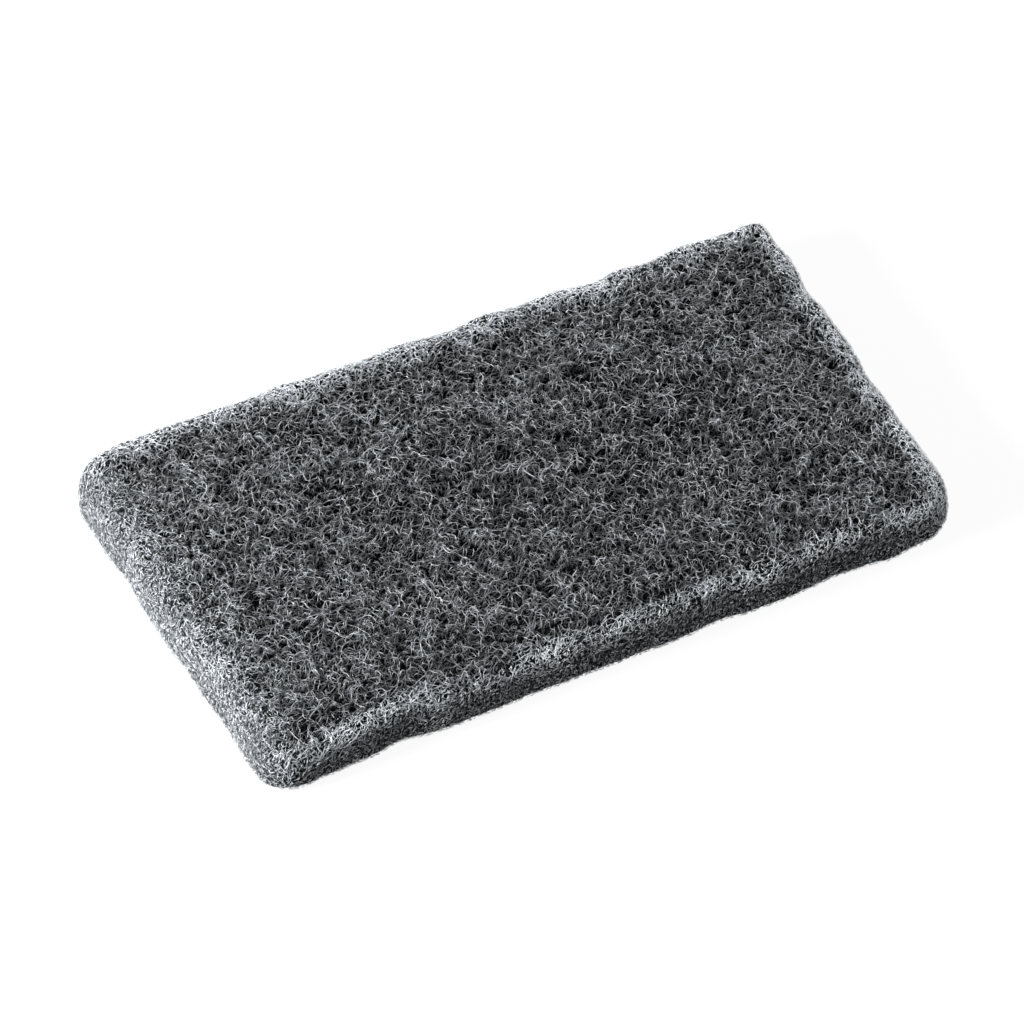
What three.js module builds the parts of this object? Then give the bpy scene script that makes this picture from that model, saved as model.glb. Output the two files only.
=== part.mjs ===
import * as THREE from "three";

// Abrasive hand pad: one thick slab of springy nonwoven web, cut to a rectangle and used flat in the hand.
// Millimetres, +Z up. X runs along the pad, Y across it, and the pad lies on Z = 0.

// Cut size of the slab
const PAD_LENGTH = 152.4;
const PAD_WIDTH = 89.6;
const PAD_THICKNESS = 12;

// The cut is a little out of square: the back edge is longer than the front, and the left end is wider
const BACK_EDGE_EXCESS = 5.2;
const LEFT_END_EXCESS = 3;

// Corners in plan
const FRONT_LEFT_RADIUS = 6;
const FRONT_RIGHT_RADIUS = 10;
const BACK_LEFT_RADIUS = 11;
const BACK_RIGHT_RADIUS = 3;

// Rounding of the upper edge, where the web springs back soft, and of the lower edge, where the cut ends
const TOP_EDGE_RADIUS = 5;
const BOTTOM_EDGE_RADIUS = 1;

// Open web: pores ringed by ridges of bonded fibre, deep in the faces and shallow round the cut sides
const PORE_SPACING = 4.6;
const PORE_DEPTH = 2.2;
const SIDE_PORE_DEPTH = 0.7;
const SHALLOWEST_SHARE = 0.35;
const RIDGE_UNEVENNESS = 0.4;
const RIDGE_WANDER = 1.2;
const EDGE_RIDGE_WANDER = 0.4;

// Long, low swell of the upper face, and the wander of the cut's middle line round the sides
const SWELL_HEIGHT = 0.7;
const SWELL_LENGTH = 47;
const CUT_WANDER = 1.2;

// On the underside a share of the pores is pressed shut, and in the resting spot in the middle all are
const PRESSED_SHARE = 0.45;
const RESTING_SPOT_RADIUS = 9;

// Nicks in the cut edges: place as a share of the way from the edge's middle to its corner, depth and length
const EDGE_NICKS = {
  front: [
    { place: -0.61, depth: 1.3, length: 10 },
    { place: -0.24, depth: 0.6, length: 5 },
    { place: 0.27, depth: 0.5, length: 7 },
    { place: 0.63, depth: 0.6, length: 6 },
  ],
  back: [
    { place: -0.44, depth: 0.5, length: 5 },
    { place: 0.06, depth: 0.9, length: 6 },
    { place: 0.5, depth: 2.2, length: 6 },
    { place: 0.92, depth: 1.0, length: 5 },
  ],
  left: [
    { place: -0.6, depth: 0.8, length: 26 },
    { place: -0.26, depth: 0.7, length: 6 },
    { place: 0.33, depth: 0.7, length: 7 },
  ],
  right: [
    { place: 0.46, depth: 1.3, length: 6 },
    { place: 0.85, depth: 1.1, length: 6 },
    { place: -0.1, depth: 0.9, length: 6 },
    { place: -0.48, depth: 0.8, length: 12 },
  ],
};

// The border is the outer band of the slab in which a face turns down to the middle line of the cut
const HALF_THICKNESS = PAD_THICKNESS / 2;
const LARGEST_CORNER = Math.max(FRONT_LEFT_RADIUS, FRONT_RIGHT_RADIUS, BACK_LEFT_RADIUS, BACK_RIGHT_RADIUS);
const BORDER = Math.max(LARGEST_CORNER, TOP_EDGE_RADIUS, BOTTOM_EDGE_RADIUS) + PORE_SPACING / 2;
const CORE_HALF_LENGTH = PAD_LENGTH / 2 - BORDER;
const CORE_HALF_WIDTH = PAD_WIDTH / 2 - BORDER;

const ridgeSpan = PORE_SPACING / Math.sqrt(3);
const CROSSINGS_IN_STEP = 4;

// A number from 0 to 1 that is always the same for one place in the web and one use
function chance(column, row, use) {
  const placed = Math.imul(column + 101, 374761393) + Math.imul(row + 211, 668265263);
  const mixed = placed + Math.imul(use, 974634777);
  const stirred = Math.imul(mixed ^ (mixed >>> 13), 1274126177);
  const settled = Math.imul(stirred ^ (stirred >>> 15), 461845907);
  return ((settled ^ (settled >>> 16)) >>> 0) / 4294967296;
}

// Section through an edge: how far a face has gone out and down after a given way along its surface
function edgeProfile(radius) {
  const rounding = Math.min(radius, HALF_THICKNESS);
  const flat = BORDER - rounding;
  const arc = (rounding * Math.PI) / 2;
  const wall = HALF_THICKNESS - rounding;
  const at = (way) => {
    if (way <= flat) return { reach: way, drop: 0, tilt: 0 };
    if (way <= flat + arc) {
      const tilt = (way - flat) / rounding;
      return { reach: flat + rounding * Math.sin(tilt), drop: rounding * (1 - Math.cos(tilt)), tilt };
    }
    return { reach: BORDER, drop: rounding + way - flat - arc, tilt: Math.PI / 2 };
  };
  return { flat, skirt: flat + arc + wall, at };
}

const topEdge = edgeProfile(TOP_EDGE_RADIUS);
const bottomEdge = edgeProfile(BOTTOM_EDGE_RADIUS);
const HALF_UNROLLED_LENGTH = CORE_HALF_LENGTH + topEdge.skirt;
const HALF_UNROLLED_WIDTH = CORE_HALF_WIDTH + topEdge.skirt;

// The web of one face, unrolled flat: rows of ridge crossings, every other row set half a span off. The rows
// fall into step over their last few crossings, so that the ends of the slab are cut straight.
function unrolledWeb() {
  const spans = Math.round((2 * HALF_UNROLLED_LENGTH) / ridgeSpan);
  const rowCount = Math.round((2 * HALF_UNROLLED_WIDTH) / (ridgeSpan * Math.sin(Math.PI / 3)));
  const span = (2 * HALF_UNROLLED_LENGTH) / spans;
  const rowStep = (2 * HALF_UNROLLED_WIDTH) / rowCount;
  const rows = [];
  for (let row = 0; row <= rowCount; row += 1) {
    const offset = row % 2;
    const points = [];
    for (let column = 0; column <= spans + offset; column += 1) {
      const fromStart = THREE.MathUtils.clamp((column - 1) / CROSSINGS_IN_STEP, 0, 1);
      const fromEnd = THREE.MathUtils.clamp((spans - column) / CROSSINGS_IN_STEP, 0, 1);
      const along = column - (offset * (1 + fromStart - fromEnd)) / 2;
      const u = along * span - HALF_UNROLLED_LENGTH;
      const v = row * rowStep - HALF_UNROLLED_WIDTH;
      const outwards = Math.max(Math.abs(u) - CORE_HALF_LENGTH, Math.abs(v) - CORE_HALF_WIDTH);
      const rim = row === 0 || row === rowCount || column === 0 || column === spans + offset;
      const diagonal = column - (row + offset) / 2 - row;
      const edge = outwards > topEdge.flat;
      points.push({ column, row, u, v, rim, edge, pore: !rim && diagonal % 3 === 0 });
    }
    rows.push(points);
  }
  return rows;
}

// Triangles between each row and the next, by stepping along whichever row lags behind
function webTriangles(rows) {
  const triangles = [];
  for (let row = 0; row + 1 < rows.length; row += 1) {
    const near = rows[row];
    const far = rows[row + 1];
    let i = 0;
    let j = 0;
    while (i + 1 < near.length || j + 1 < far.length) {
      const nearIsNext = j + 1 === far.length || (i + 1 < near.length && near[i + 1].u <= far[j + 1].u);
      if (nearIsNext) {
        triangles.push([near[i], near[i + 1], far[j]]);
        i += 1;
      } else {
        triangles.push([near[i], far[j + 1], far[j]]);
        j += 1;
      }
    }
  }
  return triangles;
}

// Share of a square corner's diagonal reach that is left after its radius is cut, along one direction
function cornerShare(outX, outY, radius) {
  const inner = BORDER - radius;
  const longer = Math.max(outX, outY);
  const shorter = Math.min(outX, outY);
  if (shorter * BORDER <= longer * inner) return 1;
  const way = Math.hypot(outX, outY);
  const towards = (inner * (outX + outY)) / way;
  const toArc = towards + Math.sqrt(towards * towards - 2 * inner * inner + radius * radius);
  return (toArc * longer) / (way * BORDER);
}

function cornerRadius(right, back) {
  if (back) return right ? BACK_RIGHT_RADIUS : BACK_LEFT_RADIUS;
  return right ? FRONT_RIGHT_RADIUS : FRONT_LEFT_RADIUS;
}

// Depth of the nicks at one place along an edge, given as a share of the way from its middle to its corner
function nickDepth(edge, share, halfLength) {
  return EDGE_NICKS[edge].reduce((depth, nick) => {
    const offset = ((share - nick.place) * halfLength) / (nick.length / 2);
    return depth + nick.depth * Math.exp(-offset * offset);
  }, 0);
}

// A point of the unrolled web laid on the slab, with the direction that faces out of the web there
function lay(u, v, profile, faceSign) {
  const outX = Math.max(Math.abs(u) - CORE_HALF_LENGTH, 0);
  const outY = Math.max(Math.abs(v) - CORE_HALF_WIDTH, 0);
  const ring = Math.max(outX, outY);
  const { reach, drop, tilt } = profile.at((ring * profile.skirt) / topEdge.skirt);
  const share = ring > 0 ? (reach / ring) * cornerShare(outX, outY, cornerRadius(u > 0, v > 0)) : 0;
  const straightX = Math.sign(u) * (Math.min(Math.abs(u), CORE_HALF_LENGTH) + outX * share);
  const straightY = Math.sign(v) * (Math.min(Math.abs(v), CORE_HALF_WIDTH) + outY * share);

  const shareX = straightX / (PAD_LENGTH / 2);
  const shareY = straightY / (PAD_WIDTH / 2);
  const nickX = nickDepth(u > 0 ? "right" : "left", shareY, PAD_WIDTH / 2) * ((outX * share) / BORDER) ** 2;
  const nickY = nickDepth(v > 0 ? "back" : "front", shareX, PAD_LENGTH / 2) * ((outY * share) / BORDER) ** 2;
  const skewX = (shareX * shareY * BACK_EDGE_EXCESS) / 4;
  const skewY = (-shareX * shareY * LEFT_END_EXCESS) / 4;

  const place = new THREE.Vector3(
    straightX + skewX - Math.sign(u) * nickX,
    straightY + skewY - Math.sign(v) * nickY,
    HALF_THICKNESS + faceSign * (HALF_THICKNESS - drop),
  );
  const sideways = ring > 0 ? Math.sin(tilt) / Math.hypot(outX, outY) : 0;
  const facing = new THREE.Vector3(
    Math.sign(u) * outX * sideways,
    Math.sign(v) * outY * sideways,
    faceSign * Math.cos(tilt),
  );
  return { place, facing, tilt };
}

// How far the upper face dips below its highest level, as one long swell each way
function swellDip(x, y) {
  const along = Math.sin((2 * Math.PI * x) / SWELL_LENGTH + 0.9);
  const across = Math.sin((2 * Math.PI * y) / SWELL_LENGTH - 0.6);
  return (SWELL_HEIGHT * (2 - along - across)) / 4;
}

// Depth of one pore; it is full in a face and shallow from where the surface starts to turn
function poreDepth(point, use) {
  const fullDepth = point.edge ? SIDE_PORE_DEPTH : PORE_DEPTH;
  return fullDepth * THREE.MathUtils.lerp(SHALLOWEST_SHARE, 1, chance(point.column, point.row, use));
}

function wander(point, use, span) {
  return (chance(point.column, point.row, use) - 0.5) * span;
}

function ridgeWander(point, use) {
  return wander(point, use, point.edge ? EDGE_RIDGE_WANDER : RIDGE_WANDER);
}

function topPoint(point) {
  const u = point.u + ridgeWander(point, 1);
  const v = point.v + ridgeWander(point, 2);
  const { place, facing } = lay(u, v, topEdge, 1);
  const ridgeDepth = RIDGE_UNEVENNESS * chance(point.column, point.row, 3);
  place.addScaledVector(facing, point.pore ? -poreDepth(point, 4) : -ridgeDepth);
  place.z -= swellDip(place.x, place.y) * Math.max(place.z / HALF_THICKNESS - 1, 0);
  return place;
}

// The underside lies on its ridges and its border, so those stay level, and so does a pressed pore
function bottomPoint(point) {
  const u = point.u + ridgeWander(point, 5);
  const v = point.v + ridgeWander(point, 6);
  const { place, facing, tilt } = lay(u, v, bottomEdge, -1);
  const atRestingSpot = Math.hypot(place.x, place.y) < RESTING_SPOT_RADIUS;
  const pressedInFace = atRestingSpot || chance(point.column, point.row, 7) < PRESSED_SHARE;
  const pressed = point.edge ? tilt === 0 : pressedInFace;
  const ridgeDepth = tilt === 0 ? 0 : RIDGE_UNEVENNESS * chance(point.column, point.row, 8);
  place.addScaledVector(facing, point.pore && !pressed ? -poreDepth(point, 9) : -ridgeDepth);
  return place;
}

// The middle line of the cut is shared by the upper and lower web
function cutPoint(point) {
  const { place, facing } = lay(point.u, point.v, topEdge, 1);
  place.addScaledVector(facing, -SIDE_PORE_DEPTH * chance(point.column, point.row, 10));
  place.z += wander(point, 11, CUT_WANDER);
  return place;
}

function padGeometry() {
  const rows = unrolledWeb();
  const triangles = webTriangles(rows).filter((corners) => !corners.every((point) => point.rim));
  const positions = [];
  const keep = (place) => positions.push(place.x, place.y, place.z) / 3 - 1;
  for (const point of rows.flat()) {
    point.top = keep(point.rim ? cutPoint(point) : topPoint(point));
    point.bottom = point.rim ? point.top : keep(bottomPoint(point));
  }
  const upper = triangles.flatMap(([a, b, c]) => [a.top, b.top, c.top]);
  const lower = triangles.flatMap(([a, b, c]) => [a.bottom, c.bottom, b.bottom]);

  const geometry = new THREE.BufferGeometry();
  geometry.setAttribute("position", new THREE.Float32BufferAttribute(positions, 3));
  geometry.setIndex([...upper, ...lower]);
  geometry.computeBoundingBox();
  const middle = geometry.boundingBox.getCenter(new THREE.Vector3());
  geometry.translate(-middle.x, -middle.y, -geometry.boundingBox.min.z);
  geometry.computeVertexNormals();
  return geometry;
}

// Charcoal-grey synthetic fibre, bonded with a dull resin that carries the grit
const webMaterial = new THREE.MeshStandardMaterial({ color: 0x47494b, roughness: 0.9, metalness: 0 });

const abrasivePad = new THREE.Mesh(padGeometry(), webMaterial);
abrasivePad.name = "abrasive_pad";

const handPad = new THREE.Group();
handPad.add(abrasivePad);

export default handPad;
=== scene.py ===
import math

import bpy
import numpy as np
from mathutils import Matrix, Vector, noise
from mathutils.bvhtree import BVHTree
from mathutils.kdtree import KDTree


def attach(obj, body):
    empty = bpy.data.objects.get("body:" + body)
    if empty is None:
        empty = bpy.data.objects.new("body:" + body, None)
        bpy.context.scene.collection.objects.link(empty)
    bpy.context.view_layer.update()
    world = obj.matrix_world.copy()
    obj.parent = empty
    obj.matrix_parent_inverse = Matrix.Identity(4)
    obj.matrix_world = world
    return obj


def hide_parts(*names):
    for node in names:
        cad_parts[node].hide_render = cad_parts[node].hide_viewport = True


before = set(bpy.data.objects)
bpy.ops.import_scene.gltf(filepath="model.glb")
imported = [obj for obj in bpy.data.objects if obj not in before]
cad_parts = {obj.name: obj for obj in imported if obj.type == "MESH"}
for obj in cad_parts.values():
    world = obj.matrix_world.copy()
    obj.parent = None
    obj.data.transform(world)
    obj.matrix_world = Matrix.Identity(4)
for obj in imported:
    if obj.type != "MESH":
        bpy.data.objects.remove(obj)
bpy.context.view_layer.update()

scene = bpy.context.scene
scene.view_settings.view_transform = "Standard"


# Viewpoint: the pad lies with its long side turned a little away and is seen from above its
# front left corner, through a long lens that keeps its edges nearly parallel.
CAMERA_AZIMUTH = math.radians(-26.56)
CAMERA_ELEVATION = math.radians(47.16)
CAMERA_DISTANCE = 1.196
LENS_TO_PICTURE_WIDTH = 6.0
PICTURE_PIXELS = 1024
PAD_MIDDLE_PIXEL = (517.26, 514.15)

lens = bpy.data.cameras.new("long_lens")
lens.sensor_width = 36.0
lens.lens = LENS_TO_PICTURE_WIDTH * lens.sensor_width
lens.clip_start = 0.01
camera = bpy.data.objects.new("camera", lens)
scene.collection.objects.link(camera)
towards_camera = Vector((
    math.sin(CAMERA_AZIMUTH) * math.cos(CAMERA_ELEVATION),
    -math.cos(CAMERA_AZIMUTH) * math.cos(CAMERA_ELEVATION),
    math.sin(CAMERA_ELEVATION),
))
picture_right = Vector((math.cos(CAMERA_AZIMUTH), math.sin(CAMERA_AZIMUTH), 0.0))
picture_up = towards_camera.cross(picture_right)
metres_per_pixel = CAMERA_DISTANCE / (LENS_TO_PICTURE_WIDTH * PICTURE_PIXELS)
aim = (
    picture_right * (PICTURE_PIXELS / 2 - PAD_MIDDLE_PIXEL[0])
    + picture_up * (PAD_MIDDLE_PIXEL[1] - PICTURE_PIXELS / 2)
) * metres_per_pixel
turn = Matrix((picture_right, picture_up, towards_camera)).transposed()
camera.matrix_world = Matrix.Translation(aim + towards_camera * CAMERA_DISTANCE) @ turn.to_4x4()
scene.camera = camera


# Studio: a seamless white table under a white room. Only the camera sees it as plain white,
# so that the pad is lit by the lamps and not by the table.
class Wire:
    """A node's output. Sums on wires add Math nodes, and add() puts in any other node."""

    def __init__(self, tree, socket=None):
        self.tree = tree
        self.socket = socket

    def add(self, kind, settings=None, inputs=None, output=0):
        node = self.tree.nodes.new(kind)
        for name, value in (settings or {}).items():
            if name == "stops":
                fill_ramp(node.color_ramp, value)
            else:
                setattr(node, name, value)
        for key, value in (inputs or {}).items():
            if isinstance(value, Wire):
                self.tree.links.new(value.socket, node.inputs[key])
            else:
                node.inputs[key].default_value = value
        return Wire(self.tree, node.outputs[output] if node.outputs else None)

    def other(self, output):
        return Wire(self.tree, self.socket.node.outputs[output])

    def maths(self, operation, first, second):
        return self.add("ShaderNodeMath", {"operation": operation}, {0: first, 1: second})

    def __add__(self, other):
        return self.maths("ADD", self, other)

    def __radd__(self, other):
        return self.maths("ADD", other, self)

    def __sub__(self, other):
        return self.maths("SUBTRACT", self, other)

    def __rsub__(self, other):
        return self.maths("SUBTRACT", other, self)

    def __mul__(self, other):
        return self.maths("MULTIPLY", self, other)

    def __rmul__(self, other):
        return self.maths("MULTIPLY", other, self)

    def __truediv__(self, other):
        return self.maths("DIVIDE", self, other)

    def __rtruediv__(self, other):
        return self.maths("DIVIDE", other, self)


def fill_ramp(ramp, stops):
    while len(ramp.elements) > len(stops):
        ramp.elements.remove(ramp.elements[-1])
    while len(ramp.elements) < len(stops):
        ramp.elements.new(1.0)
    for element, (place, colour) in zip(ramp.elements, stops):
        element.position = place
        element.color = colour


def new_material(name):
    material = bpy.data.materials.new(name)
    material.use_nodes = True
    material.node_tree.nodes.clear()
    return material, Wire(material.node_tree)


def seen_directly(start):
    path = start.add("ShaderNodeLightPath", output="Is Camera Ray")
    through = path.maths("MAXIMUM", path.other("Is Glossy Ray"), path.other("Is Transmission Ray"))
    return path.maths("MAXIMUM", path, through)


TABLE_SIZE = 4.0
TABLE_BOUNCE = 0.3
TABLE_WHITENESS = 0.9
ROOM_LIGHT = 0.04

table_material, start = new_material("white_table")
on_show = seen_directly(start)
surface = start.add("ShaderNodeBsdfDiffuse", inputs={
    "Color": TABLE_BOUNCE + on_show * (1 - TABLE_BOUNCE),
}, output="BSDF")
glow = start.add("ShaderNodeEmission", inputs={"Color": (1.0, 1.0, 1.0, 1.0), "Strength": 1.0})
start.add("ShaderNodeOutputMaterial", inputs={
    "Surface": start.add("ShaderNodeMixShader", inputs={
        0: on_show * TABLE_WHITENESS, 1: surface, 2: glow,
    }),
})
half_table = TABLE_SIZE / 2
table_mesh = bpy.data.meshes.new("table")
table_mesh.from_pydata(
    [(-half_table, -half_table, 0.0), (half_table, -half_table, 0.0),
     (half_table, half_table, 0.0), (-half_table, half_table, 0.0)],
    [], [(0, 1, 2, 3)],
)
table_mesh.materials.append(table_material)
table = bpy.data.objects.new("table", table_mesh)
scene.collection.objects.link(table)

room = bpy.data.worlds.new("white_room")
room.use_nodes = True
room.node_tree.nodes.clear()
start = Wire(room.node_tree)
room_strength = ROOM_LIGHT + (1 - ROOM_LIGHT) * seen_directly(start)
start.add("ShaderNodeOutputWorld", inputs={
    "Surface": start.add("ShaderNodeBackground", inputs={
        "Color": (1.0, 1.0, 1.0, 1.0), "Strength": room_strength,
    }),
})
scene.world = room


def soft_lamp(name, place, size, power):
    lamp = bpy.data.lights.new(name, "AREA")
    lamp.shape = "RECTANGLE"
    lamp.size, lamp.size_y = size
    lamp.energy = power
    holder = bpy.data.objects.new(name, lamp)
    scene.collection.objects.link(holder)
    turn = (-Vector(place)).to_track_quat("-Z", "Y").to_matrix()
    holder.matrix_world = Matrix.Translation(place) @ turn.to_4x4()


soft_lamp("left_softbox", place=(-0.5, 0.04, 0.22), size=(0.25, 0.15), power=9.6)
soft_lamp("back_softbox", place=(0.1, 0.8, 0.1), size=(0.9, 0.1), power=10.5)
soft_lamp("right_softbox", place=(0.8, 0.1, 0.06), size=(0.5, 0.1), power=4.6)
soft_lamp("front_softbox", place=(0.1, -0.46, 0.78), size=(0.22, 0.16), power=4.1)


# Body of the web: the dense middle of the slab, where crimped fibres cross so often that they
# close up. It lies under the loose fibre, sinks into the pores, and shows only as a dark tangle.
# Its near-black colour is partly the fibre's own dark colour and partly painted shade of the deep
# web, and it is painted darker still in the pores and pits and paler near the lit rims.
WELD_REACH = 1e-6
SKIN_GRAIN = 0.0011
SKIN_SMOOTHING = 27
SMOOTHING_SHARE = 0.5
RIDGE_REACH = 0.0032
RIDGE_SMOOTHING = 12
PORE_SMOOTHING = 2
SHALLOW_PORE = 0.0003
PATCH_SPACING = 0.005
OPEN_SHARE = 0.5
PATCH_CONTRAST = 1.5
FOLD_SMOOTHING = 2
FACE_DEPTH = 0.0008
SIDE_DEPTH = 0.00045
PORE_SINK = 0.6
# One entry for each cut side: left, right, front and back
RIM_FACINGS = np.array([(-1, 0), (1, 0), (0, -1), (0, 1)])
RIM_WIDTHS = np.array([0.014, 0.0072, 0.005, 0.0105])
FRAY_WIDTHS = np.array([0.014, 0.0072, 0.004, 0.0105])
# Painted rim light: how much paler the rim, the wall and the body are painted at each side, as the lamps
# light them.
RIM_PAINTED_LIGHT = np.array([1.0, 4.6, 4.2, 2.8])
WALL_PAINTED_LIGHT = np.array([0.45, 0.2, 0.02, 0.2])
BODY_RIM_PAINTED_LIGHT = np.array([0.7, 0.6, 0.3, 0.7])
UNDER_PALENESS = 0.45
PAINTED_LIGHT_FALL = 1.5
BODY_PAINTED_LIGHT_FALL = 2
STEEP = 0.5
TUFT_SPACING = 0.009
TUFT_CONTRAST = 1.0
RAGGED_DEPTH = 0.0012
NOISE_MIDDLE = 0.5
PIT_SCALE = 620.0
PIT_FLATNESS = (1.0, 1.0, 0.25)
PIT_BRINK = 0.55
PIT_BOTTOM = 0.75
BROAD_STRANDS = {"scale": 800.0, "offset": 0.0, "width": 0.04}
FINE_STRANDS = {"scale": 1100.0, "offset": 0.3, "width": 0.05}
FINE_STRAND_SHARE = 0.75
PAINTED_PORE_SHADE_DEPTH = 0.0008
STRANDS_IN_PAINTED_PORE_SHADE = 0.2
STRAND_LIGHTNESS = 0.5
PAINTED_LIGHT_AND_PALENESS_SHARE = 0.45
STRAND_HEIGHT = 0.0002
STRAND_BUMP = 0.6


def finished_mesh(piece):
    """The evaluated mesh of a piece, which then loses its modifiers."""
    evaluated = piece.evaluated_get(bpy.context.evaluated_depsgraph_get())
    mesh = bpy.data.meshes.new_from_object(evaluated)
    mesh.name = piece.name
    piece.modifiers.clear()
    piece.data = mesh
    return mesh


def vertex_array(mesh, what):
    numbers = np.empty(len(mesh.vertices) * 3, np.float32)
    mesh.vertices.foreach_get(what, numbers)
    return numbers.reshape(-1, 3).astype(float)


def spread(mesh, values, times):
    """Values of a mesh's points, each replaced by the mean of its neighbours a number of times."""
    edges = np.empty(len(mesh.edges) * 2, np.int32)
    mesh.edges.foreach_get("vertices", edges)
    first, second = edges.reshape(-1, 2).T
    neighbours = np.bincount(edges, minlength=len(values))
    for _ in range(times):
        total = np.bincount(first, values[second], len(values))
        total += np.bincount(second, values[first], len(values))
        values = total / neighbours
    return values


def stretch_over_ridges(mesh, solid):
    """Lifts a smooth skin onto the solid's highest ridges, and notes how deep its pores lie below."""
    ridges = vertex_array(solid, "co")
    near_ridges = KDTree(len(ridges))
    for index, ridge in enumerate(ridges):
        near_ridges.insert(ridge, index)
    near_ridges.balance()
    places = vertex_array(mesh, "co")
    facings = vertex_array(mesh, "normal")
    facings = np.transpose([spread(mesh, part, RIDGE_SMOOTHING) for part in facings.T])
    facings /= np.linalg.norm(facings, axis=1)[:, None]
    lift = np.zeros(len(places))
    for index, (place, facing) in enumerate(zip(places, facings)):
        near = [found for _, found, _ in near_ridges.find_range(place, RIDGE_REACH)]
        if near:
            lift[index] = ((ridges[near] - place) @ facing).max()
    places += facings * spread(mesh, lift, RIDGE_SMOOTHING)[:, None]
    places[:, 2] = np.maximum(places[:, 2], 0.0)
    places = np.transpose([spread(mesh, part, FOLD_SMOOTHING) for part in places.T])
    mesh.vertices.foreach_set("co", places.astype(np.float32).ravel())
    mesh.update()

    surface = BVHTree.FromPolygons(ridges.tolist(), [face.vertices for face in solid.polygons])
    facings = vertex_array(mesh, "normal")
    depth = np.zeros(len(places))
    for index, (place, facing) in enumerate(zip(places, facings)):
        distance = surface.ray_cast(place + facing * RIDGE_REACH, -facing, 3 * RIDGE_REACH)[3]
        if distance is not None:
            depth[index] = max(distance - RIDGE_REACH, 0.0)
    depth = np.maximum(spread(mesh, depth, PORE_SMOOTHING) - SHALLOW_PORE, 0)
    patches = np.array([noise.noise(place / PATCH_SPACING) for place in places])
    depth *= np.clip(OPEN_SHARE + PATCH_CONTRAST * patches, 0, 1)
    edges = np.empty(len(mesh.edges) * 2, np.int32)
    mesh.edges.foreach_get("vertices", edges)
    first, second = edges.reshape(-1, 2).T
    span = places[second] - places[first]
    climb = span * ((depth[second] - depth[first]) / (span ** 2).sum(axis=1))[:, None]
    share = 2 / np.bincount(edges, minlength=len(depth))
    slope = np.transpose([
        share * (np.bincount(first, part, len(depth)) + np.bincount(second, part, len(depth)))
        for part in climb.T
    ])
    pore_depth = mesh.attributes.new("pore_depth", "FLOAT", "POINT")
    pore_depth.data.foreach_set("value", depth.astype(np.float32))
    pore_slope = mesh.attributes.new("pore_slope", "FLOAT_VECTOR", "POINT")
    pore_slope.data.foreach_set("vector", slope.astype(np.float32).ravel())


def mark_rim(mesh):
    """Roughens the skin near the cut sides, and notes how near they are and the painted light there:
    their rims and walls are painted paler where the low lamps light them, each side by its own amount
    and the shaded front wall hardly at all; the body is also paler on the underside.
    """
    places = vertex_array(mesh, "co")
    facings = vertex_array(mesh, "normal")
    steep = np.abs(facings[:, 2]) < STEEP
    sides, side_facings = places[steep], facings[steep]
    near_sides = KDTree(len(sides))
    for index, side in enumerate(sides):
        near_sides.insert(side, index)
    near_sides.balance()
    nearest, way = np.array([near_sides.find(place)[1:] for place in places]).T
    which_side = np.clip(side_facings[nearest.astype(int), :2] @ RIM_FACINGS.T, 0, 1)
    which_side /= which_side.sum(axis=1)[:, None]
    nearness = np.clip(1 - way / (which_side @ RIM_WIDTHS), 0, 1)
    tufts = np.array([noise.noise(place / TUFT_SPACING) for place in places])
    wall_share = which_side @ WALL_PAINTED_LIGHT
    paleness = nearness ** PAINTED_LIGHT_FALL * (wall_share + (1 - wall_share) * facings[:, 2] ** 2)
    paleness *= (which_side @ RIM_PAINTED_LIGHT) * (1 + TUFT_CONTRAST * tufts)
    body_paleness = nearness ** BODY_PAINTED_LIGHT_FALL * (which_side @ BODY_RIM_PAINTED_LIGHT)
    body_paleness += UNDER_PALENESS * np.clip(-facings[:, 2], 0, 1)
    fray = np.clip(1 - way / (which_side @ FRAY_WIDTHS), 0, 1)
    marks = {"rim": nearness, "fray": fray, "paleness": paleness, "body_paleness": body_paleness}
    for name, values in marks.items():
        mark = mesh.attributes.new(name, "FLOAT", "POINT")
        mark.data.foreach_set("value", values.astype(np.float32))
    height_share = places[:, 2] / places[:, 2].max()
    places += facings * (RAGGED_DEPTH * nearness * height_share * tufts)[:, None]
    mesh.vertices.foreach_set("co", places.astype(np.float32).ravel())
    mesh.update()


def new_tree(name, sizes):
    """A Geometry Nodes tree with one number or material input for each named size."""
    tree = bpy.data.node_groups.new(name, "GeometryNodeTree")
    tree.interface.new_socket("Geometry", in_out="INPUT", socket_type="NodeSocketGeometry")
    tree.interface.new_socket("Geometry", in_out="OUTPUT", socket_type="NodeSocketGeometry")
    kinds = {float: "NodeSocketFloat", int: "NodeSocketInt", bpy.types.Material: "NodeSocketMaterial"}
    for size, value in sizes.items():
        tree.interface.new_socket(size, in_out="INPUT", socket_type=kinds[type(value)])
    return tree, Wire(tree).add("NodeGroupInput", output="Geometry")


def run_tree(piece, tree, sizes):
    """Puts a tree on a piece with its sizes set, and turns the result into the piece's plain mesh."""
    modifier = piece.modifiers.new(tree.name, "NODES")
    modifier.node_group = tree
    for item in tree.interface.items_tree:
        if item.in_out == "INPUT" and item.name in sizes:
            modifier[item.identifier] = sizes[item.name]
    return finished_mesh(piece)


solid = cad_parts["abrasive_pad"].data
slab = bpy.data.objects.new("slab_skin", solid.copy())
scene.collection.objects.link(slab)
weld = slab.modifiers.new("weld", "WELD")
weld.merge_threshold = WELD_REACH
remesh = slab.modifiers.new("even", "REMESH")
remesh.mode = "VOXEL"
remesh.voxel_size = SKIN_GRAIN
smooth = slab.modifiers.new("smooth", "SMOOTH")
smooth.factor = SMOOTHING_SHARE
smooth.iterations = SKIN_SMOOTHING
finished_mesh(slab)
stretch_over_ridges(slab.data, solid)
mark_rim(slab.data)

web_material, start = new_material("web_body")
place = start.add("ShaderNodeTexCoord", output="Object")


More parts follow.
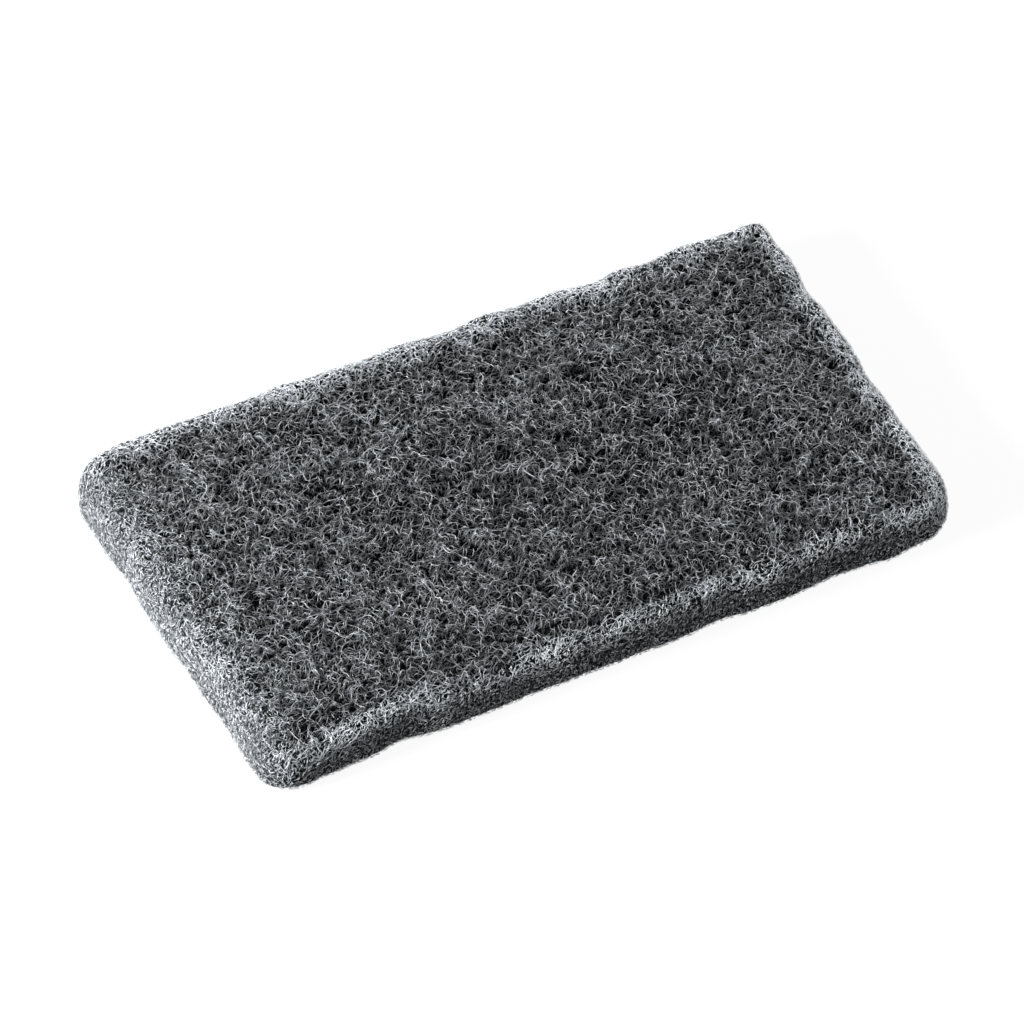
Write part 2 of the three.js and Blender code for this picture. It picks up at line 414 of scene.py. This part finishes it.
def small_pits(wire, place):
    """How deep a spot lies in the small gaps between knots of fibre, from 0 to 1."""
    flattened = wire.add("ShaderNodeVectorMath", {"operation": "MULTIPLY"}, {0: place, 1: PIT_FLATNESS})
    gaps = wire.add("ShaderNodeTexNoise", inputs={
        "Vector": flattened, "Scale": PIT_SCALE, "Detail": 1.0,
    }, output="Fac")
    return wire.add("ShaderNodeMapRange", {"interpolation_type": "SMOOTHSTEP"}, {
        "Value": gaps, "From Min": PIT_BRINK, "From Max": PIT_BOTTOM,
    })


def tangle(scale, offset, width):
    """Thin curling lines, where a noise passes through its middle value."""
    shifted = start.add("ShaderNodeVectorMath", {"operation": "ADD"}, {
        0: place, 1: (offset, offset, offset),
    })
    wander = start.add("ShaderNodeTexNoise", inputs={
        "Vector": shifted, "Scale": scale, "Detail": 1.0,
    }, output="Fac")
    return start.add("ShaderNodeMapRange", {"interpolation_type": "SMOOTHSTEP"}, {
        "Value": start.maths("ABSOLUTE", wander - NOISE_MIDDLE, 0.0),
        "From Min": 0.0, "From Max": width, "To Min": 1.0, "To Max": 0.0,
    })


strands = start.maths("MAXIMUM", tangle(**BROAD_STRANDS), tangle(**FINE_STRANDS) * FINE_STRAND_SHARE)
# Painted shade: the strands are painted darker in the pores and in the small pits, where the deep web
# lies in shade.
pore_depth = start.add("ShaderNodeAttribute", {"attribute_name": "pore_depth"}, output="Fac")
strands = strands * start.add("ShaderNodeMapRange", inputs={
    "Value": pore_depth, "From Min": 0.0, "From Max": PAINTED_PORE_SHADE_DEPTH,
    "To Min": 1.0, "To Max": STRANDS_IN_PAINTED_PORE_SHADE,
}) * (1 - small_pits(start, place))
# Painted light: the body is painted paler near the lit rims, by each side's own amount, and paler on the
# underside.
paleness = start.add("ShaderNodeAttribute", {"attribute_name": "body_paleness"}, output="Fac")
shine = start.add("ShaderNodeBsdfPrincipled", inputs={
    "Base Color": start.add("ShaderNodeValToRGB", {"stops": [
        (0.0, (0.001, 0.0011, 0.0012, 1.0)),
        (0.25, (0.01, 0.0107, 0.0113, 1.0)),
        (0.5, (0.08, 0.0852, 0.0904, 1.0)),
        (0.75, (0.22, 0.234, 0.249, 1.0)),
        (1.0, (0.4, 0.426, 0.452, 1.0)),
    ]}, {"Fac": strands * STRAND_LIGHTNESS + paleness * PAINTED_LIGHT_AND_PALENESS_SHARE}, "Color"),
    "Roughness": 0.8,
    "Specular IOR Level": 0.0,
    "Normal": start.add("ShaderNodeBump", inputs={
        "Height": strands, "Strength": STRAND_BUMP, "Distance": STRAND_HEIGHT,
    }),
}, output="BSDF")
start.add("ShaderNodeOutputMaterial", inputs={"Surface": shine})

body_sizes = {
    "Face depth": FACE_DEPTH,
    "Side depth": SIDE_DEPTH,
    "Pore sink": PORE_SINK,
    "Material": web_material,
}
tree, skin = new_tree("pitted_body", body_sizes)
facing = skin.add("GeometryNodeInputNormal")
rim = skin.add("GeometryNodeInputNamedAttribute", {"data_type": "FLOAT"}, {"Name": "rim"})
pore_depth = skin.add("GeometryNodeInputNamedAttribute", {"data_type": "FLOAT"}, {"Name": "pore_depth"})
sink = skin.other("Side depth") + (1 - rim) * (
    skin.other("Face depth") - skin.other("Side depth") + pore_depth * skin.other("Pore sink"))
body = skin.add("GeometryNodeSetPosition", inputs={
    "Geometry": skin,
    "Offset": skin.add("ShaderNodeVectorMath", {"operation": "SCALE"}, {0: facing, "Scale": 0 - sink}),
})
body = skin.add("GeometryNodeSetShadeSmooth", inputs={"Geometry": body})
body = skin.add("GeometryNodeRealizeInstances", inputs={"Geometry": body})
body = skin.add("GeometryNodeSetMaterial", inputs={"Geometry": body, "Material": skin.other("Material")})
skin.add("NodeGroupOutput", inputs={"Geometry": body})

web_body = bpy.data.objects.new("web_body", slab.data.copy())
scene.collection.objects.link(web_body)
run_tree(web_body, tree, body_sizes)
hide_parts("abrasive_pad")
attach(web_body, "root")


# Loose fibre of the upper face: long crimped synthetic strands, laid flat by needling and glued
# where they cross. Each rises and dives through the web, dips into the pores and ends at the cut.
FIBRE_APART = 7.31
WAVE_APART = 0.5
FIBRE_SIDES = 3
FEWEST_POINTS = 2
GRIT_SCALE = 1800.0
GRIT_CONTRAST = 2.6
TONE_RANGE = 0.7

fibre_material, start = new_material("grey_fibre")
tone = start.add("ShaderNodeAttribute", {"attribute_name": "tone"}, output="Fac")
fibre = start.add("ShaderNodeAttribute", {"attribute_name": "fibre"}, output="Fac")
place = start.add("ShaderNodeTexCoord", output="Object")
grit = start.add("ShaderNodeTexNoise", {"noise_dimensions": "4D"}, {
    "Vector": place, "W": fibre * FIBRE_APART, "Scale": GRIT_SCALE, "Detail": 1.0,
}, output="Fac")
# The fibre's colour follows its tone, which carries painted depth shade and painted rim light besides
# its random tone and grit.
shine = start.add("ShaderNodeBsdfPrincipled", inputs={
    "Base Color": start.add("ShaderNodeValToRGB", {"stops": [
        (0.0, (0.002, 0.0021, 0.0022, 1.0)),
        (0.28, (0.08, 0.0852, 0.0904, 1.0)),
        (0.52, (0.33, 0.351, 0.373, 1.0)),
        (0.7, (0.5, 0.532, 0.565, 1.0)),
        (1.0, (0.8, 0.83, 0.86, 1.0)),
    ]}, {"Fac": tone * TONE_RANGE * (1 + (grit - NOISE_MIDDLE) * GRIT_CONTRAST)}, "Color"),
    "Roughness": 0.4,
    "Specular IOR Level": 0.5,
}, output="BSDF")
start.add("ShaderNodeOutputMaterial", inputs={"Surface": shine})

FACE_FIBRE = {
    "Fibres per square metre": 185000.0,
    "Share on face": 1.0,
    "Share at rim": 0.7,
    "Points": 13,
    "Step": 0.0008,
    "Thickness": 0.000095,
    "Grain direction": 0.9,
    "Grain": 0.2,
    "Arc": 150.0,
    "Crimp": 6.0,
    "Crimp length": 0.0022,
    "Highest": 0.0,
    "Lowest": -0.0018,
    "Wave": 0.0021,
    "Wave length": 0.0013,
    "Pore dive": 0.35,
    "Pore push": 0.0003,
    "Pit depth": 0.0008,
    "Unshaded lightness": 1.03,
    "Unevenness": 0.15,
    "Painted shade depth": 0.0013,
    "Painted depth shade": 2.6,
    "Painted rim light": 0.42,
    "Cut off": 0.002,
    "Front drape": 0.55,
    "Facing from": 0.8,
    "Facing to": 2.0,
    "Seed": 1,
    "Material": fibre_material,
}
tree, skin = new_tree("crimped_fibre", FACE_FIBRE)


def scaled(vector, amount):
    return skin.add("ShaderNodeVectorMath", {"operation": "SCALE"}, {0: vector, "Scale": amount})


def draw(low, high, identity, seed):
    return skin.add("FunctionNodeRandomValue", {"data_type": "FLOAT"}, {
        2: low, 3: high, "ID": identity, "Seed": skin.other("Seed") + seed,
    }, output=1)


def swing(along, wavelength, identity):
    """A smooth rise and fall along each fibre, mostly from -0.3 to 0.3, and its own for each."""
    where = skin.add("ShaderNodeCombineXYZ", inputs={
        "X": along / wavelength, "Y": identity * FIBRE_APART,
    })
    return skin.add("ShaderNodeTexNoise", inputs={
        "Vector": where, "Scale": 1.0, "Detail": 0.0,
    }, output="Fac") - NOISE_MIDDLE


facing = skin.add("GeometryNodeInputNormal")
facing_parts = skin.add("ShaderNodeSeparateXYZ", inputs={"Vector": facing})
forward = skin.maths("MAXIMUM", 0 - facing_parts.other("Y"), 0.0)
upright = facing_parts.other("Z") + forward * skin.other("Front drape")
in_region = skin.maths("GREATER_THAN", upright, skin.other("Facing from")) \
    * skin.maths("LESS_THAN", upright, skin.other("Facing to"))
fray = skin.add("GeometryNodeInputNamedAttribute", {"data_type": "FLOAT"}, {"Name": "fray"})
face_share, rim_share = skin.other("Share on face"), skin.other("Share at rim")
share = face_share + (rim_share - face_share) * fray
roots = skin.add("GeometryNodeDistributePointsOnFaces", inputs={
    "Mesh": skin, "Selection": in_region,
    "Density": skin.other("Fibres per square metre") * share, "Seed": skin.other("Seed"),
}, output="Points")
steps = skin.add("GeometryNodeDuplicateElements", {"domain": "POINT"}, {
    "Geometry": roots, "Amount": skin.other("Points"),
}, output="Geometry")
step = steps.other("Duplicate Index")
fibre = (skin.add("GeometryNodeInputIndex") - step) / skin.other("Points")
along = step * skin.other("Step")
heading = draw(0.0, 2 * math.pi, fibre, 1) \
    + along * draw(-1.0, 1.0, fibre, 2) * skin.other("Arc") \
    + swing(along, skin.other("Crimp length"), fibre) * skin.other("Crimp")
across_grain = skin.maths("SINE", 2 * (heading - skin.other("Grain direction")), 0.0)
heading = heading - across_grain * skin.other("Grain")
stride = scaled(skin.add("ShaderNodeCombineXYZ", inputs={
    "X": skin.maths("COSINE", heading, 0.0), "Y": skin.maths("SINE", heading, 0.0),
}), skin.other("Step"))
walked = skin.add("GeometryNodeAccumulateField", {"data_type": "FLOAT_VECTOR"}, {
    "Value": stride, "Group ID": fibre,
}, output="Trailing")
fibres = skin.add("GeometryNodeSetPosition", inputs={
    "Geometry": steps,
    "Offset": skin.add("FunctionNodeRotateVector", inputs={
        "Vector": walked,
        "Rotation": skin.add("FunctionNodeAlignRotationToVector", {"axis": "Z"}, {
            "Vector": roots.other("Normal"),
        }),
    }),
})
off_skin = skin.add("GeometryNodeProximity", {"target_element": "FACES"}, {"Geometry": skin}, "Distance")
fibres = skin.add("GeometryNodeStoreNamedAttribute", {"data_type": "FLOAT", "domain": "POINT"}, {
    "Geometry": fibres, "Name": "fibre", "Value": fibre,
})
fibres = skin.add("GeometryNodeStoreNamedAttribute", {"data_type": "FLOAT", "domain": "POINT"}, {
    "Geometry": fibres, "Name": "step", "Value": step,
})
fibres = skin.add("GeometryNodeDeleteGeometry", {"domain": "POINT"}, {
    "Geometry": fibres, "Selection": skin.maths("GREATER_THAN", off_skin, skin.other("Cut off")),
})
fibre = skin.add("GeometryNodeInputNamedAttribute", {"data_type": "FLOAT"}, {"Name": "fibre"})
step = skin.add("GeometryNodeInputNamedAttribute", {"data_type": "FLOAT"}, {"Name": "step"})
fibres = skin.add("GeometryNodePointsToCurves", inputs={
    "Points": fibres, "Curve Group ID": fibre, "Weight": step,
})
points_left = skin.add("GeometryNodeSplineLength", output="Point Count")
fibres = skin.add("GeometryNodeDeleteGeometry", {"domain": "CURVE"}, {
    "Geometry": fibres, "Selection": skin.maths("LESS_THAN", points_left, FEWEST_POINTS - 0.5),
})

along = step * skin.other("Step")
place = skin.add("GeometryNodeInputPosition")


def on_skin(data_type, value):
    return skin.add("GeometryNodeSampleNearestSurface", {"data_type": data_type}, {
        "Mesh": skin, "Value": value, "Sample Position": place,
    })


rim, paleness, pore_depth = (
    on_skin("FLOAT", skin.add("GeometryNodeInputNamedAttribute", {"data_type": "FLOAT"}, {
        "Name": name,
    }))
    for name in ("rim", "paleness", "pore_depth")
)
lift = skin.other("Highest") - skin.other("Lowest")
level = skin.other("Lowest") + draw(0.0, 1.0, fibre, 3) * lift
wave = swing(along, skin.other("Wave length"), fibre + WAVE_APART) * skin.other("Wave")
under_top = skin.maths("ABSOLUTE", skin.other("Highest") - level - wave, 0.0)
dive = pore_depth * skin.other("Pore dive") + small_pits(skin, place) * skin.other("Pit depth")
height = skin.other("Highest") - under_top - dive * (1 - rim)
# Painted shade: fibres lying deeper under the top are painted darker, standing in for the shade of the
# web above them.
unshaded_share = skin.add("ShaderNodeMapRange", inputs={
    "Value": height, "From Min": 0 - skin.other("Painted shade depth"), "From Max": 0.0,
})
lightness = skin.other("Unshaded lightness") + draw(-1.0, 1.0, fibre, 4) * skin.other("Unevenness")
# Painted light: near the lit rims the fibre is painted paler, by each side's own amount.
tone = skin.maths("POWER", unshaded_share, skin.other("Painted depth shade")) * lightness \
    + paleness * skin.other("Painted rim light")
fibres = skin.add("GeometryNodeStoreNamedAttribute", {"data_type": "FLOAT", "domain": "POINT"}, {
    "Geometry": fibres, "Name": "tone", "Value": tone,
})
pore_slope = skin.add("GeometryNodeInputNamedAttribute", {"data_type": "FLOAT_VECTOR"}, {
    "Name": "pore_slope",
})
pore_slope = on_skin("FLOAT_VECTOR", pore_slope)
aside = scaled(pore_slope, (rim - 1) * skin.other("Pore push"))
off_skin = skin.add("ShaderNodeVectorMath", {"operation": "ADD"}, {
    0: scaled(on_skin("FLOAT_VECTOR", facing), height), 1: aside,
})
fibres = skin.add("GeometryNodeSetPosition", inputs={
    "Geometry": fibres,
    "Position": skin.add("ShaderNodeVectorMath", {"operation": "ADD"}, {
        0: on_skin("FLOAT_VECTOR", place), 1: off_skin,
    }),
})
profile = skin.add("GeometryNodeCurvePrimitiveCircle", {"mode": "RADIUS"}, {
    "Resolution": FIBRE_SIDES, "Radius": skin.other("Thickness") * 0.5,
})
fibres = skin.add("GeometryNodeCurveToMesh", inputs={
    "Curve": fibres, "Profile Curve": profile, "Fill Caps": True,
})
fibres = skin.add("GeometryNodeSetShadeSmooth", inputs={"Geometry": fibres})
fibres = skin.add("GeometryNodeRealizeInstances", inputs={"Geometry": fibres})
fibres = skin.add("GeometryNodeSetMaterial", inputs={
    "Geometry": fibres, "Material": skin.other("Material"),
})
skin.add("NodeGroupOutput", inputs={"Geometry": fibres})

STRIP_SHAPE = 10.0
STRIP_MARGIN = 0.1
CAP_FROM, CAP_TO = 0.02, 0.08
SIDE_FROM, SIDE_STEP = 0.05, 0.3


def point_array(mesh, name):
    numbers = np.empty(len(mesh.vertices), np.float32)
    mesh.attributes[name].data.foreach_get("value", numbers)
    return numbers


def lay_out(mesh, points, shape):
    """Gives each fibre a cell of its own in the bake map: its three sides in a row, and its two ends."""
    corners = np.empty(len(mesh.loops), np.int32)
    mesh.loops.foreach_get("vertex_index", corners)
    counts = np.empty(len(mesh.polygons), np.int32)
    mesh.polygons.foreach_get("loop_total", counts)
    face = np.repeat(np.arange(len(counts)), counts)
    step = point_array(mesh, "step")
    fibre = np.unique(point_array(mesh, "fibre"), return_inverse=True)[1]
    first_step = np.full(fibre.max() + 1, np.inf)
    np.minimum.at(first_step, fibre, step)
    cell, step = fibre[corners], step[corners]

    side = corners % FIBRE_SIDES
    is_end = counts == FIBRE_SIDES
    end = is_end[face]
    last_to_first = 2 * (FIBRE_SIDES - 1)
    closing = ((np.bincount(face, side) == last_to_first) & ~is_end)[face]
    across = 1 - SIDE_FROM - SIDE_STEP * np.where(closing & (side == 0), FIBRE_SIDES, side)
    along = STRIP_MARGIN + (1 - 2 * STRIP_MARGIN) * step / (points - 1)
    end_along = np.where(side == 1, CAP_TO, CAP_FROM)
    end_along = np.where(step == first_step[cell], end_along, 1 - end_along)
    along = np.where(end, end_along, along)

    columns = max(1, round(math.sqrt(len(first_step) / shape)))
    rows = math.ceil(len(first_step) / columns)
    places = np.column_stack([(cell % columns + along) / columns, (cell // columns + across) / rows])
    mesh.uv_layers.new(name="OFBake").data.foreach_set("uv", places.astype(np.float32).ravel())


def fibre_layer(name, changes, strip_shape=STRIP_SHAPE):
    layer = bpy.data.objects.new(name, slab.data.copy())
    scene.collection.objects.link(layer)
    sizes = {**FACE_FIBRE, **changes}
    lay_out(run_tree(layer, tree, sizes), sizes["Points"], strip_shape)
    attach(layer, "root")


fibre_layer("upper_fibre_deep", {
    "Seed": 21, "Highest": -0.0004, "Lowest": -0.0008, "Fibres per square metre": 160000.0,
})
fibre_layer("upper_fibre_inner", {"Seed": 22, "Highest": -0.0002, "Lowest": -0.0006})
fibre_layer("upper_fibre_outer", {"Seed": 23, "Highest": -0.0001, "Lowest": -0.0005})
fibre_layer("upper_fibre_surface", {"Seed": 26, "Highest": 0.0, "Lowest": -0.0005})


# Underside: the same resin-bonded fibre as on the upper face. The pad lies on it, so it is pressed
# level there, and its strands lie flush with the face.
fibre_layer("under_fibre", {
    "Seed": 24, "Facing from": -2.0, "Facing to": -0.5, "Fibres per square metre": 90000.0,
    "Points": 10, "Step": 0.0011, "Thickness": 0.00014, "Highest": -0.00012, "Lowest": -0.0005,
    "Wave": 0.002, "Unshaded lightness": 1.25,
})


# Cut sides: the slab is cut from a sheet of web, and its fibre is cut through here. Only short ends
# show, closely packed and pointing every way, and they fray along the upper edge.
STUB_SHAPE = 1.5

fibre_layer("side_fibre", {
    "Seed": 25, "Facing from": -0.3, "Facing to": 2.0, "Fibres per square metre": 4000000.0,
    "Share on face": 0.0, "Share at rim": 1.0, "Points": 2, "Step": 0.0006, "Thickness": 0.00012,
    "Highest": -0.00005, "Lowest": -0.0004, "Wave": 0.0014, "Wave length": 0.0008,
    "Unshaded lightness": 0.8, "Unevenness": 0.5, "Painted rim light": 0.45,
}, STUB_SHAPE)


# Finished pad: the smooth skin that carried the fibre is taken away.
bpy.data.objects.remove(slab)
